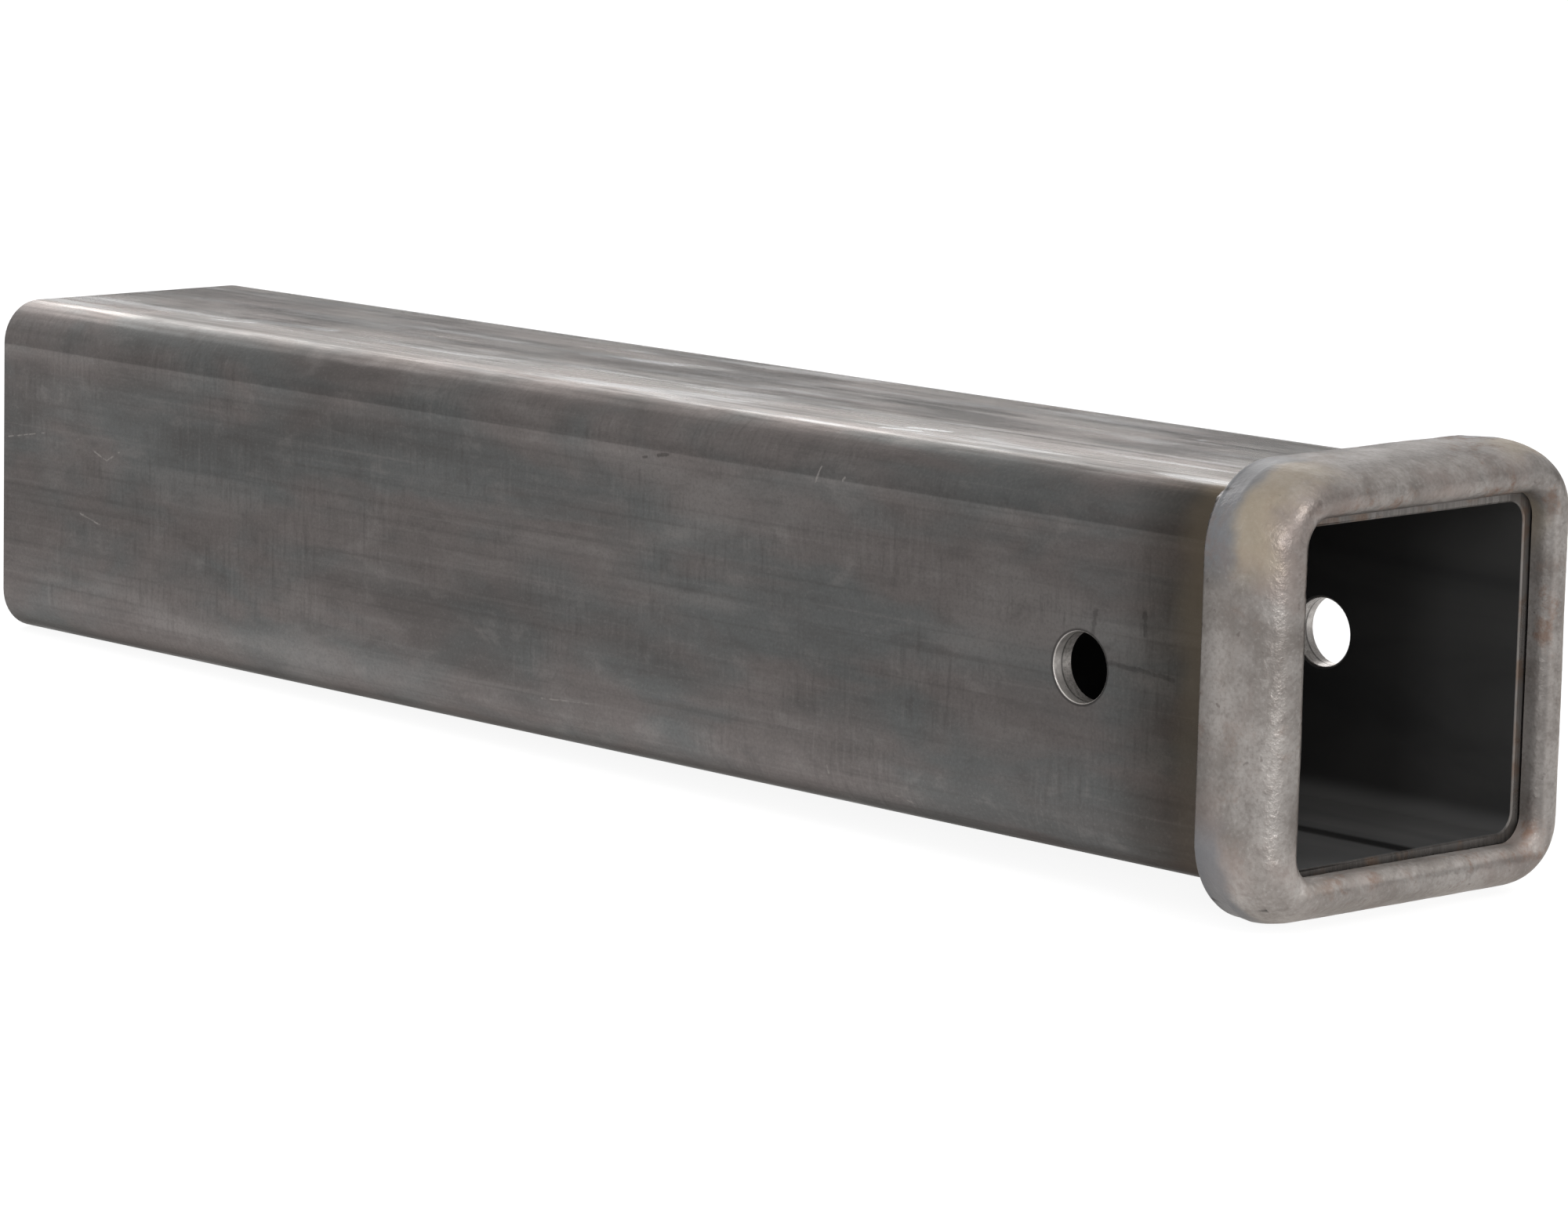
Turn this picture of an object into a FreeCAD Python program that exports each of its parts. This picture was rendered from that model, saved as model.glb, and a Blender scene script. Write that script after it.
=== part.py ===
import FreeCAD, Part
import math
import os

from FreeCAD import Vector

# A weld-on hitch receiver tube: a square steel tube, a forged reinforcement collar round its mouth
# and the fillet weld that joins them. Sizes are in millimetres.
# The origin is where the pin hole's axis crosses the tube's centreline.
# +X points out of the mouth, +Y runs along the pin hole and +Z is up.

# Receiver tube
TUBE_WIDTH = 88.9
TUBE_WALL = 6.35
TUBE_CORNER_RADIUS = 11.1
TUBE_LENGTH = 457.2
END_EDGE_BREAK = 0.4

# Cross hole for the hitch pin, punched from the outside of each side wall
PIN_HOLE_DIAMETER = 16.3
PIN_HOLE_SETBACK = 58.7
PIN_HOLE_ROLLED_RIM = 0.5
PIN_HOLE_BREAKOUT = 0.6

# Collar: a sleeve over the tube, and a lip in front of the tube's end
COLLAR_WALL = 7.25
COLLAR_DEPTH = 24.0
COLLAR_OVERHANG = 7.2
COLLAR_LEDGE = 2.45
COLLAR_SEAM = 0.5
COLLAR_REAR_CORNER_RADIUS = 20.3
COLLAR_CORNER_RADIUS = 16.6
COLLAR_REAR_LAND = 2.0
COLLAR_REAR_EDGE_ROUND = 1.5
FRONT_ROUND_DEPTH = 15.7
FRONT_LAND = 0.4
MOUTH_CORNER_RADIUS = 6.4
MOUTH_EDGE_ROUND = 4.0

# Weld bead behind the collar
WELD_RUN = 5.0
WELD_CROWN = 0.5
WELD_EDGE_CLEARANCE = 0.15
WELD_TOE_CLEARANCE = 1.0

# Places and sizes that follow from those above
TUBE_HALF = TUBE_WIDTH / 2
BORE_HALF = TUBE_HALF - TUBE_WALL
BORE_CORNER_RADIUS = TUBE_CORNER_RADIUS - TUBE_WALL
TUBE_FRONT = PIN_HOLE_SETBACK
TUBE_REAR = TUBE_FRONT - TUBE_LENGTH
COLLAR_HALF = TUBE_HALF + COLLAR_WALL
COLLAR_FRONT = TUBE_FRONT + COLLAR_OVERHANG
COLLAR_REAR = COLLAR_FRONT - COLLAR_DEPTH
FRONT_ROUND_START = COLLAR_FRONT - FRONT_ROUND_DEPTH
MOUTH_HALF = BORE_HALF + COLLAR_LEDGE
FRONT_ROUND_RISE = COLLAR_HALF - MOUTH_HALF - MOUTH_EDGE_ROUND - FRONT_LAND
FREE_FACE_END = COLLAR_REAR - WELD_RUN - WELD_TOE_CLEARANCE
SMALL = 1e-4


def corner_reach(half, radius):
    """Distance from the centreline to the outline of a rounded square, across its corner."""
    return (half - radius) * math.sqrt(2) + radius


def rounded_square(x, half, radius):
    """Closed wire in the plane at x: four sides and four corner arcs round the centreline."""
    flat = half - radius
    diagonal = radius * math.sqrt(0.5)
    edges = []
    for turn in range(4):
        angle = math.radians(90 * turn)
        out = Vector(0, math.cos(angle), math.sin(angle))
        along = Vector(0, -math.sin(angle), math.cos(angle))
        side_start = Vector(x, 0, 0) + out * half - along * flat
        side_end = Vector(x, 0, 0) + out * half + along * flat
        corner = Vector(x, 0, 0) + (out + along) * flat
        arc_middle = corner + (out + along) * diagonal
        arc_end = corner + along * radius
        edges.append(Part.LineSegment(side_start, side_end).toShape())
        edges.append(Part.Arc(side_end, arc_middle, arc_end).toShape())
    return Part.Wire(edges)


def square_bar(start, end, half, radius):
    """Solid rounded-square bar along the centreline, from start to end."""
    face = Part.Face(rounded_square(start, half, radius))
    return face.extrude(Vector(end - start, 0, 0))


def round_the_square(section, flat):
    """Solid that carries a section, drawn over the square's top side, round all its sides and corners."""
    side = section.extrude(Vector(0, 2 * flat, 0))
    corner = section.revolve(Vector(0, -flat, flat), Vector(1, 0, 0), 90)
    runs = []
    for turn in range(4):
        for piece in (side, corner):
            placed = piece.copy()
            placed.rotate(Vector(0, 0, 0), Vector(1, 0, 0), 90 * turn)
            runs.append(placed)
    return runs[0].fuse(runs[1:]).removeSplitter()


def edges_in_plane(solid, x):
    """The solid's edges that lie wholly in the plane at x."""
    return [edge for edge in solid.Edges
            if abs(edge.BoundBox.XMin - x) < SMALL and abs(edge.BoundBox.XMax - x) < SMALL]


def pin_hole_rims(tube, distance):
    """The round edges of the pin hole at this distance from the centreline, one on each side."""
    return [edge for edge in tube.Edges
            if isinstance(edge.Curve, Part.Circle)
            and abs(edge.Curve.Radius - PIN_HOLE_DIAMETER / 2) < SMALL
            and abs(abs(edge.Curve.Center.y) - distance) < SMALL]


def receiver_tube():
    """Square tube with saw-cut, deburred ends and a punched cross hole near its mouth."""
    # the outside is split where the faces that are free for a frame's welds end
    free_length = square_bar(TUBE_REAR, FREE_FACE_END, TUBE_HALF, TUBE_CORNER_RADIUS)
    covered_length = square_bar(FREE_FACE_END, TUBE_FRONT, TUBE_HALF, TUBE_CORNER_RADIUS)
    tube = free_length.fuse(covered_length)
    tube = tube.cut(square_bar(TUBE_REAR, TUBE_FRONT, BORE_HALF, BORE_CORNER_RADIUS))
    ends = edges_in_plane(tube, TUBE_REAR) + edges_in_plane(tube, TUBE_FRONT)
    tube = tube.makeChamfer(END_EDGE_BREAK, ends)
    punch = Part.makeCylinder(PIN_HOLE_DIAMETER / 2, TUBE_WIDTH, Vector(0, -TUBE_HALF, 0), Vector(0, 1, 0))
    tube = tube.cut(punch)
    tube = tube.makeChamfer(PIN_HOLE_BREAKOUT, pin_hole_rims(tube, BORE_HALF))
    return tube.makeFillet(PIN_HOLE_ROLLED_RIM, pin_hole_rims(tube, TUBE_HALF))


def collar_rear_land():
    """Rear end of the forging, with its outer edge rounded."""
    land = square_bar(COLLAR_REAR, COLLAR_REAR + COLLAR_REAR_LAND, COLLAR_HALF, COLLAR_REAR_CORNER_RADIUS)
    return land.makeFillet(COLLAR_REAR_EDGE_ROUND, edges_in_plane(land, COLLAR_REAR))


def collar_sleeve():
    """Straight-sided length of the forging, whose corners tighten evenly towards the front."""
    return Part.makeLoft([rounded_square(COLLAR_REAR + COLLAR_REAR_LAND, COLLAR_HALF, COLLAR_REAR_CORNER_RADIUS),
                          rounded_square(FRONT_ROUND_START, COLLAR_HALF, COLLAR_CORNER_RADIUS)], True, True)


def collar_front():
    """Front of the forging: a quarter-ellipse round carried along its sides and about its corners."""
    flat = COLLAR_HALF - COLLAR_CORNER_RADIUS
    centre = Vector(FRONT_ROUND_START, -flat, COLLAR_HALF - FRONT_ROUND_RISE)
    nose = centre + Vector(FRONT_ROUND_DEPTH, 0, 0)
    crest = centre + Vector(0, 0, FRONT_ROUND_RISE)
    ellipse = Part.Ellipse(nose, crest, centre)
    inner_front = Vector(COLLAR_FRONT, -flat, flat)
    inner_rear = Vector(FRONT_ROUND_START, -flat, flat)
    section = Part.Face(Part.Wire([
        Part.ArcOfEllipse(ellipse, 0, math.pi / 2).toShape(),
        Part.LineSegment(crest, inner_rear).toShape(),
        Part.LineSegment(inner_rear, inner_front).toShape(),
        Part.LineSegment(inner_front, nose).toShape()]))
    core = Part.makeBox(FRONT_ROUND_DEPTH, 2 * flat, 2 * flat, Vector(FRONT_ROUND_START, -flat, -flat))
    return round_the_square(section, flat).fuse(core)


def reinforcement_collar():
    """Forged ring: a sleeve that fits over the tube, and a lip with a rounded mouth before its end."""
    blank = collar_rear_land().fuse([collar_sleeve(), collar_front()])
    tube_pocket = square_bar(COLLAR_REAR, TUBE_FRONT + COLLAR_SEAM, TUBE_HALF, TUBE_CORNER_RADIUS)
    mouth = square_bar(COLLAR_REAR, COLLAR_FRONT, MOUTH_HALF, MOUTH_CORNER_RADIUS)
    collar = blank.cut(tube_pocket).cut(mouth)
    mouth_edges = [edge for edge in edges_in_plane(collar, COLLAR_FRONT)
                   if max(edge.BoundBox.YMax, edge.BoundBox.ZMax,
                          -edge.BoundBox.YMin, -edge.BoundBox.ZMin) < MOUTH_HALF + SMALL]
    return collar.makeFillet(MOUTH_EDGE_ROUND, mouth_edges)


def collar_weld():
    """Convex fillet bead round the tube, in the corner that it makes with the collar's rear face."""
    narrowest_land = (corner_reach(COLLAR_HALF, COLLAR_REAR_CORNER_RADIUS) - COLLAR_REAR_EDGE_ROUND
                      - corner_reach(TUBE_HALF, TUBE_CORNER_RADIUS))
    rise = narrowest_land - WELD_EDGE_CLEARANCE
    slope = math.hypot(WELD_RUN, rise)
    flat = TUBE_HALF - TUBE_CORNER_RADIUS
    root = Vector(COLLAR_REAR, -flat, TUBE_HALF)
    collar_toe = root + Vector(0, 0, rise)
    tube_toe = root - Vector(WELD_RUN, 0, 0)
    crown = (collar_toe + tube_toe) * 0.5 + Vector(-rise, 0, WELD_RUN) * (WELD_CROWN / slope)
    section = Part.Face(Part.Wire([
        Part.LineSegment(root, collar_toe).toShape(),
        Part.Arc(collar_toe, crown, tube_toe).toShape(),
        Part.LineSegment(tube_toe, root).toShape()]))
    return round_the_square(section, flat)


def main():
    os.makedirs("parts", exist_ok=True)
    nodes = {
        "receiver_tube": receiver_tube(),
        "reinforcement_collar": reinforcement_collar(),
        "collar_weld": collar_weld(),
    }
    for name, shape in nodes.items():
        shape.exportStep(f"parts/{name}.step")
        box = shape.optimalBoundingBox()
        print(f"{name}: {len(shape.Solids)} solid, valid {shape.isValid()}, {shape.Volume / 1000:.2f} cm3, "
              f"x {box.XMin:.2f} to {box.XMax:.2f}, y {box.YMin:.2f} to {box.YMax:.2f}, "
              f"z {box.ZMin:.2f} to {box.ZMax:.2f}")


main()
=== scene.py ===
import math

import bmesh
import bpy
from mathutils import Matrix, Vector, noise


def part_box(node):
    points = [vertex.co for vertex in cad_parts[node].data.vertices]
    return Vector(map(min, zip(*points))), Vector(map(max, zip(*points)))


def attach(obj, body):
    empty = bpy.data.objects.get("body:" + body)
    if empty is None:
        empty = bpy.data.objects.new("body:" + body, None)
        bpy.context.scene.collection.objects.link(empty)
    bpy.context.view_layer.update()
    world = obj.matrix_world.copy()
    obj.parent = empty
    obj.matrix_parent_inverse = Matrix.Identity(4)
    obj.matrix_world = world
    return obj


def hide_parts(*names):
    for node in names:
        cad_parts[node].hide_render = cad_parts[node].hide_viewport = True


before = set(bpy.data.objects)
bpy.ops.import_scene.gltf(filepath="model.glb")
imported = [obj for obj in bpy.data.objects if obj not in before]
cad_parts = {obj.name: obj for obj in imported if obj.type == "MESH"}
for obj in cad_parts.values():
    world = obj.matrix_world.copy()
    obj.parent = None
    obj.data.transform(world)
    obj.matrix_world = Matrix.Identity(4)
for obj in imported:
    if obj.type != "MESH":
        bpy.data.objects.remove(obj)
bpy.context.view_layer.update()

# A raw square receiver tube with a forged collar welded round its mouth. Lengths are in metres and in
# the frame's own axes: +X out of the mouth, +Y along the pin hole, +Z up.

tube_low, tube_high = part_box("receiver_tube")
collar_low, collar_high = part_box("reinforcement_collar")
TUBE_REAR, TUBE_FRONT, TUBE_HALF = tube_low.x, tube_high.x, tube_high.z
COLLAR_REAR, COLLAR_FRONT, COLLAR_HALF = collar_low.x, collar_high.x, collar_high.z

# Sizes that the pieces made here share with the frame
TUBE_CORNER = 0.0111
TUBE_FLAT = TUBE_HALF - TUBE_CORNER
BORE_HALF = 0.0381
COLLAR_REAR_CORNER = 0.0203
COLLAR_CORNER = 0.0166
REAR_LAND = 0.0020
REAR_ROUND = 0.0015
ROUND_DEPTH = 0.0157
ROUND_RISE = 0.00675
ROUND_START = COLLAR_FRONT - ROUND_DEPTH
MOUTH_HALF = 0.04055
MOUTH_CORNER = 0.0064
MOUTH_ROUND = 0.0040
SEAM_X = TUBE_FRONT + 0.0005
WELD_RUN = 0.0050
WELD_RISE = 0.0045
HOLE_RADIUS = 0.00815

MILLIMETRE = 0.001

# How far the forging's front is out of true: its sideways shift, and the rise of three of its corners
FRONT_ASIDE = -0.0009
NEAR_LOW_RISE = 0.0018
NEAR_TOP_RISE = -0.0004
FAR_TOP_RISE = 0.0004

# How rough the forging's skin is on its rear face; rows no rougher than this touch the tube and stay true
REAR_FACE_ROUGH = 0.2

# The tube's flats fall towards its near corners, by this many millimetres per square metre, and run into
# the corners over this length. The weld seam inside lies this far beyond the middle of the bore's floor.
CROWN_FALL = 1070.0
CROWN_RUN = 0.0017
TUBE_SEAM_Y = 0.0026

# How deep the punch burnished the pin hole before the metal tore
BURNISHED_DEPTH = 0.0026


# Outlines: in each quarter, this share of the points lies on the side and the rest on the corner
SIDE_SHARE = 0.72


def rounded_square(half, corner, around):
    """Point (y, z) and outward direction at a share `around` of a rounded square's four equal quarters.

    The same share lies on the same side or corner whatever the corner's radius is, so that outlines of
    different sizes join up without twisting."""
    quarter, share = divmod(around * 4.0 % 4.0, 1.0)
    flat = half - corner
    if share < SIDE_SHARE:
        along = (share / SIDE_SHARE) * 2.0 - 1.0
        y, z, ny, nz = half, along * flat, 1.0, 0.0
    else:
        angle = (share - SIDE_SHARE) / (1.0 - SIDE_SHARE) * math.pi / 2
        ny, nz = math.cos(angle), math.sin(angle)
        y, z = flat + corner * ny, flat + corner * nz
    turn = quarter * math.pi / 2
    c, s = math.cos(turn), math.sin(turn)
    return (y * c - z * s, y * s + z * c), (ny * c - nz * s, ny * s + nz * c)


def closed_skin(name, rings):
    """Mesh object of quads over closed rings of points; the last ring joins the first."""
    mesh = bpy.data.meshes.new(name)
    count = len(rings[0])
    points = [p for ring in rings for p in ring]
    faces = []
    for i in range(len(rings)):
        a, b = i * count, (i + 1) % len(rings) * count
        faces += [(a + j, a + (j + 1) % count, b + (j + 1) % count, b + j) for j in range(count)]
    mesh.from_pydata(points, [], faces)
    work = bmesh.new()
    work.from_mesh(mesh)
    bmesh.ops.recalc_face_normals(work, faces=work.faces)
    work.to_mesh(mesh)
    work.free()
    mesh.polygons.foreach_set("use_smooth", [True] * len(mesh.polygons))
    return placed(name, mesh)


def placed(name, data):
    """Object with that data, put into the scene."""
    obj = bpy.data.objects.new(name, data)
    bpy.context.scene.collection.objects.link(obj)
    return obj


# Collar
def even(share):
    return share


def starting_slow(share):
    return 1 - math.cos(share * math.pi / 2)


def ending_slow(share):
    return math.sin(share * math.pi / 2)


def section_run(start, end, count, rough, ahead=even, aside=even):
    """Rows of the forging's section from start up to, but without, end.

    ahead gives how far x has come at each share of the way, and aside how far the half width and the
    corner radius have. One that starts slow and one that ends slow make a quarter of an ellipse."""
    rows = []
    for i in range(count):
        shares = (ahead(i / count), aside(i / count), aside(i / count))
        rows.append((*(a + (b - a) * share for a, b, share in zip(start, end, shares)), rough))
    return rows


def collar_profile():
    """Section of the forging as (x, half width, corner radius, how rough its skin is), right round it."""
    rear_face = (COLLAR_REAR, COLLAR_HALF - REAR_ROUND, COLLAR_REAR_CORNER - REAR_ROUND)
    rear_side = (COLLAR_REAR + REAR_ROUND, COLLAR_HALF, COLLAR_REAR_CORNER)
    sleeve_start = (COLLAR_REAR + REAR_LAND, COLLAR_HALF, COLLAR_REAR_CORNER)
    sleeve_end = (ROUND_START, COLLAR_HALF, COLLAR_CORNER)
    front_land = (COLLAR_FRONT, COLLAR_HALF - ROUND_RISE, COLLAR_CORNER - ROUND_RISE)
    mouth_edge = (COLLAR_FRONT, MOUTH_HALF + MOUTH_ROUND, MOUTH_CORNER + MOUTH_ROUND)
    mouth_wall = (COLLAR_FRONT - MOUTH_ROUND, MOUTH_HALF, MOUTH_CORNER)
    mouth_end = (SEAM_X, MOUTH_HALF, MOUTH_CORNER)
    shoulder = (SEAM_X, TUBE_HALF, TUBE_CORNER)
    pocket_end = (COLLAR_REAR, TUBE_HALF, TUBE_CORNER)
    return [
        *section_run(rear_face, rear_side, 5, 0.6, starting_slow, ending_slow),
        *section_run(rear_side, sleeve_start, 1, 1.0),
        *section_run(sleeve_start, sleeve_end, 14, 1.0),
        *section_run(sleeve_end, front_land, 34, 1.0, ending_slow, starting_slow),
        *section_run(front_land, mouth_edge, 1, 1.0),
        *section_run(mouth_edge, mouth_wall, 14, 1.0, starting_slow, ending_slow),
        *section_run(mouth_wall, mouth_end, 6, 0.5),
        *section_run(mouth_end, shoulder, 3, 0.0),
        *section_run(shoulder, pocket_end, 3, 0.0),
        *section_run(pocket_end, rear_face, 4, REAR_FACE_ROUGH),
    ]


def out_of_true(point):
    """Where a point of the drawn forging lies once its front has settled a little to one side."""
    frontness = (point.x - COLLAR_REAR) / (COLLAR_FRONT - COLLAR_REAR)
    near = (1 - point.y / COLLAR_HALF) / 2
    low = (1 - point.z / COLLAR_HALF) / 2
    near_rise = near * low * NEAR_LOW_RISE + near * (1 - low) * NEAR_TOP_RISE
    far_rise = (1 - near) * (1 - low) * FAR_TOP_RISE
    return point + Vector((0.0, FRONT_ASIDE, near_rise + far_rise)) * frontness


def forged_skin(point):
    """How far the forging's skin stands off its drawn form, from its broad waves down to its scale pits.

    The noises' scales are per metre and their heights in millimetres."""
    waves = noise.noise(point * 48.0) * 0.13 + noise.noise(point * 150.0 + Vector((3, 1, 7))) * 0.050
    grain = noise.fractal(point * 520.0, 0.9, 2.0, 2) * 0.030
    pits = max(0.0, noise.noise(point * 300.0 + Vector((11, 5, 2))) - 0.36) * -0.22
    return (waves + grain + pits) * MILLIMETRE


def make_collar():
    rows = collar_profile()
    around = 960
    rings = []
    for x, half, corner, rough in rows:
        outline = [rounded_square(half, corner, j / around)[0] for j in range(around)]
        ring = [Vector((x, y, z)) for y, z in outline]
        rings.append([out_of_true(point) for point in ring] if rough > REAR_FACE_ROUGH else ring)
    collar = closed_skin("forged_collar", rings)
    mesh = collar.data
    rough_of = [rough for _, _, _, rough in rows for _ in range(around)]
    normals = [v.normal.copy() for v in mesh.vertices]
    for v, n, rough in zip(mesh.vertices, normals, rough_of):
        v.co += n * (forged_skin(v.co) * rough)
    mesh.update()
    mesh.set_sharp_from_angle(angle=math.radians(40))
    return collar


# Weld: its toes lie this far under the steel, its crown looks back and up, and its ripples bow ahead there
BEAD_SUNK = 0.00005
CROWN_HEIGHT = 0.00045
CROWN_BACK, CROWN_UP = 0.67, 0.74
RIPPLE_PITCH = 0.0021
RIPPLE_HEIGHT = 0.00018
RIPPLE_BOW = 0.0011
RIPPLE_SHAKE = 0.35
TOE_WANDER = 0.00035
BEAD_SWELL = 0.07

# The bead is thicker at the middle of each corner, where two runs overlap; shares are of a quarter's points
OVERLAP_HEIGHT = 0.00055
OVERLAP_AT = (1.0 + SIDE_SHARE) / 2
OVERLAP_SPREAD = 0.022


def bead_ring(around, length):
    """Section of the bead at a share of the way round, from its toe on the tube to its back."""
    section = 12
    (y, z), (ny, nz) = rounded_square(TUBE_HALF, TUBE_CORNER, around)
    s = around * length
    wander = noise.noise(Vector((s * 90, 0.3, 0.7))) * TOE_WANDER
    swell = noise.noise(Vector((s * 45, 5.3, 1.7))) * BEAD_SWELL + 1.0
    shake = noise.noise(Vector((s * 160, 2.0, 4.0))) * RIPPLE_SHAKE
    from_overlap = (around * 4.0 + 1.5 - OVERLAP_AT) % 1.0 - 0.5
    overlap = math.exp(-(from_overlap / OVERLAP_SPREAD) ** 2) * OVERLAP_HEIGHT
    ring = []
    for k in range(section + 1):
        t = k / section
        bulge = math.sin(math.pi * t)
        phase = (s + RIPPLE_BOW * bulge) / RIPPLE_PITCH + shake
        ripple = abs(math.sin(math.pi * phase)) ** 0.7 * RIPPLE_HEIGHT
        lift = bulge * (CROWN_HEIGHT + ripple + overlap) - BEAD_SUNK
        x = COLLAR_REAR - (WELD_RUN * (1 - t) * swell + wander) - lift * CROWN_BACK
        up = WELD_RISE * t * swell + lift * CROWN_UP
        ring.append(Vector((min(x, COLLAR_REAR + BEAD_SUNK), y + ny * up, z + nz * up)))
    ring.append(Vector((COLLAR_REAR + BEAD_SUNK, y - ny * BEAD_SUNK, z - nz * BEAD_SUNK)))
    return ring


def make_weld():
    """Rippled fillet bead behind the collar, laid in four runs that overlap at the middle of each corner."""
    around = 1500
    length = 8 * TUBE_FLAT + 2 * math.pi * (TUBE_CORNER + WELD_RISE / 2)
    return closed_skin("weld_bead", [bead_ring(j / around, length) for j in range(around)])


# Node trees
class Tree:
    """The node tree of a material or a world, with short calls for the nodes that the scene uses."""

    def __init__(self, owner):
        owner.use_nodes = True
        self.tree = owner.node_tree
        self.tree.nodes.clear()

    def new(self, kind):
        return self.tree.nodes.new(kind)

    def feed(self, socket, value):
        """Links the value to the socket, or sets it there; a colour gets its alpha."""
        if isinstance(value, bpy.types.NodeSocket):
            self.tree.links.new(value, socket)
        elif isinstance(value, tuple) and len(value) == 3 and len(socket.default_value) == 4:
            socket.default_value = (*value, 1.0)
        else:
            socket.default_value = value

    def apply(self, kind, operation, values):
        """A new node of that kind and operation, with the values on its first sockets."""
        node = self.new(kind)
        node.operation = operation
        for socket, value in zip(node.inputs, values):
            self.feed(socket, value)
        return node

    def calc(self, operation, *values):
        return self.apply("ShaderNodeMath", operation, values).outputs[0]

    def vector(self, operation, *values):
        return self.apply("ShaderNodeVectorMath", operation, values).outputs["Vector"]

    def measure(self, operation, *values):
        """Vector maths whose result is a number."""
        return self.apply("ShaderNodeVectorMath", operation, values).outputs["Value"]

    def plus(self, a, b):
        return self.calc("ADD", a, b)

    def minus(self, a, b):
        return self.calc("SUBTRACT", a, b)

    def between(self, value, low, high):
        return self.calc("MINIMUM", self.calc("MAXIMUM", value, low), high)

    def times(self, *values):
        result = values[0]
        for value in values[1:]:
            result = self.calc("MULTIPLY", result, value)
        return result

    def most(self, *values):
        result = values[0]
        for value in values[1:]:
            result = self.calc("MAXIMUM", result, value)
        return result

    def split(self, vector):
        node = self.new("ShaderNodeSeparateXYZ")
        self.feed(node.inputs[0], vector)
        return node.outputs

    def ramp(self, value, start, end, low=0.0, high=1.0):
        """Smooth step of value from low at start to high at end; start may be above end."""
        node = self.new("ShaderNodeMapRange")
        node.interpolation_type = "SMOOTHSTEP"
        for socket, v in zip(node.inputs, (value, start, end, low, high)):
            self.feed(socket, v)
        return node.outputs[0]

    def rays(self):
        """Masks of the rays from the camera, and of those in a reflection or through glass."""
        path = self.new("ShaderNodeLightPath").outputs
        return path["Is Camera Ray"], self.most(path["Is Glossy Ray"], path["Is Transmission Ray"])

    def show(self, kind, shader):
        self.feed(self.new(kind).inputs["Surface"], shader)


class Finish(Tree):
    """A metal's material, with its places on the object and short calls for patterns and marks."""

    def __init__(self, name):
        self.material = bpy.data.materials.new(name)
        super().__init__(self.material)
        self.place = self.new("ShaderNodeTexCoord").outputs["Object"]
        self.x, self.y, self.z = self.split(self.place)
        self.across = self.calc("ABSOLUTE", self.y)
        self.up_down = self.calc("ABSOLUTE", self.z)
        # half the width of the square round the centreline that a point lies on
        self.reach = self.most(self.across, self.up_down)

    def pattern(self, scale, shift=(0.0, 0.0, 0.0), detail=2.0, rough=0.5, bend=0.0):
        """Noise around 0.5 that stays on the object; its scale is per metre, on all axes or on each."""
        node = self.new("ShaderNodeTexNoise")
        scale = scale if isinstance(scale, tuple) else (scale, scale, scale)
        self.feed(node.inputs["Vector"], self.vector("MULTIPLY_ADD", self.place, scale, shift))
        node.inputs["Scale"].default_value = 1.0
        node.inputs["Detail"].default_value = detail
        node.inputs["Roughness"].default_value = rough
        node.inputs["Distortion"].default_value = bend
        return node.outputs[0]

    def mix(self, mask, a, b, kind="MIX"):
        node = self.new("ShaderNodeMix")
        node.data_type = "RGBA"
        node.blend_type = kind
        self.feed(node.inputs[0], mask)
        self.feed(node.inputs[6], a)
        self.feed(node.inputs[7], b)
        return node.outputs[2]

    def shade(self, colour, mask, factor):
        """The colour, times the factor where the mask is 1."""
        return self.mix(mask, colour, (factor, factor, factor), "MULTIPLY")

    def tones(self, colour, pattern, dark, light, where=1.0):
        """The colour, with a dark tone where the pattern is high and a light one where it is low.

        Each tone is (colour, where it starts in the pattern, where it is full, how strong it is)."""
        for tone, start, full, strength in (dark, light):
            colour = self.mix(self.times(self.ramp(pattern, start, full), strength, where), colour, tone)
        return colour

    def bump(self, height, strength, distance, under=None):
        node = self.new("ShaderNodeBump")
        node.inputs["Strength"].default_value = strength
        node.inputs["Distance"].default_value = distance
        self.feed(node.inputs["Height"], height)
        if under is not None:
            self.feed(node.inputs["Normal"], under)
        return node.outputs[0]

    def stroke(self, flat, start, end, width, fray):
        """Mask of one straight mark with frayed edges."""
        run = Vector(end) - Vector(start)
        from_start = self.vector("SUBTRACT", flat, start)
        share = self.calc("DIVIDE", self.measure("DOT_PRODUCT", from_start, tuple(run)), run.length_squared)
        nearest = self.apply("ShaderNodeVectorMath", "SCALE", (tuple(run),))
        self.feed(nearest.inputs["Scale"], self.between(share, 0.0, 1.0))
        gap = self.measure("LENGTH", self.vector("SUBTRACT", from_start, nearest.outputs["Vector"]))
        frayed = self.calc("MULTIPLY_ADD", fray, width, gap)
        return self.ramp(frayed, width, width * 0.3)

    def strokes(self, flat, marks, fray):
        """Mask of straight marks (start, end, width) on coordinates that are flattened onto their face."""
        return self.most(*(self.stroke(flat, start, end, width, fray) for start, end, width in marks))

    def assemble(self, colour, roughness, normal, metallic, edge_tint):
        shader = self.new("ShaderNodeBsdfPrincipled")
        self.feed(shader.inputs["Base Color"], colour)
        self.feed(shader.inputs["Roughness"], roughness)
        self.feed(shader.inputs["Normal"], normal)
        self.feed(shader.inputs["Metallic"], metallic)
        self.feed(shader.inputs["Specular Tint"], edge_tint)
        self.show("ShaderNodeOutputMaterial", shader.outputs[0])
        return self.material


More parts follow.
